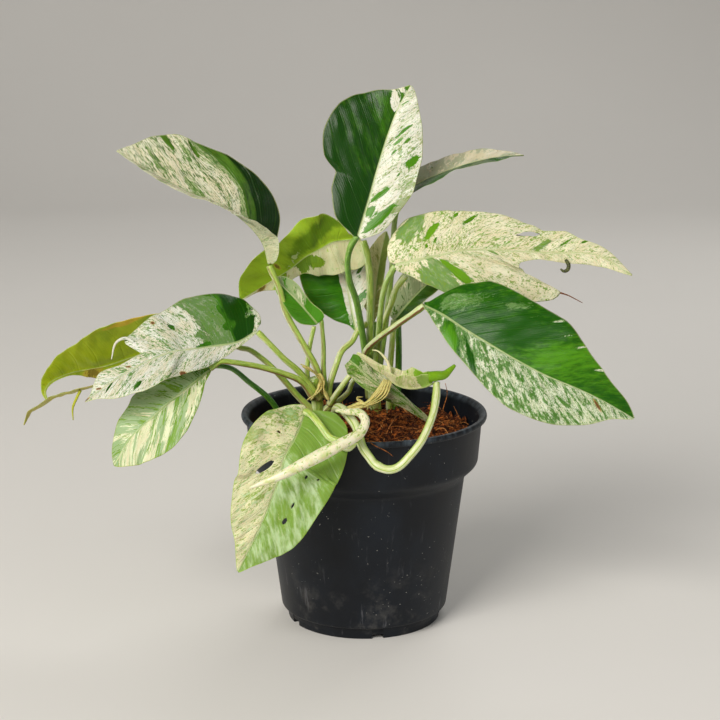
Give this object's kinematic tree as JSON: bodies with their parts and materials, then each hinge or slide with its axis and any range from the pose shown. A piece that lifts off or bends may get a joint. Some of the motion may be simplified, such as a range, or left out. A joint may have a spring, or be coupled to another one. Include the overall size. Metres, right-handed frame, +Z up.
{
  "type": "potted plant",
  "caption": "Potted marble dragon tail plant: cream and green variegated leaves on arching stalks, coir, and a round black nursery pot with a wide collar.",
  "frame": {"origin": "centre of the pot's flat foot, on the surface that it stands on", "axes": "+Z up along the pot's axis, -Y towards the side that the picture shows, +X to that side's right"},
  "size_m": [0.2997, 0.1482, 0.2606],
  "materials": {
    "pot": "semi-matt charcoal black, faintly scuffed",
    "coir": "rough reddish-brown coconut fibre",
    "stalk": "satin green, streaked cream and red-brown",
    "leaf": "satin, cream marbled with deep and mid green",
    "sheath": "dry, papery, yellow"
  },
  "bodies": {
    "root": {"pot": "pot", "coir": "coir", "stalks_left": "stalk", "stalks_right": "stalk", "stalks_back": "stalk", "stalk_side": "stalk", "stem_loop": "stalk", "leaf_top": "leaf", "leaf_upper_right": "leaf", "leaf_upper_left": "leaf", "leaf_back_centre": "leaf", "leaf_centre": "leaf", "leaf_centre_left": "leaf", "leaf_back_upright": "leaf", "leaf_right": "leaf", "leaf_lower_right": "leaf", "leaf_back_right": "leaf", "leaf_left": "leaf", "leaf_far_left": "leaf", "leaf_low_left": "leaf", "leaf_left_edge_on": "leaf", "leaf_front": "leaf", "leaf_marbled_young": "leaf", "leaf_curled": "leaf", "leaf_rolled": "leaf", "sheath_left": "sheath", "sheath_right": "sheath"}
  },
  "joints": []
}
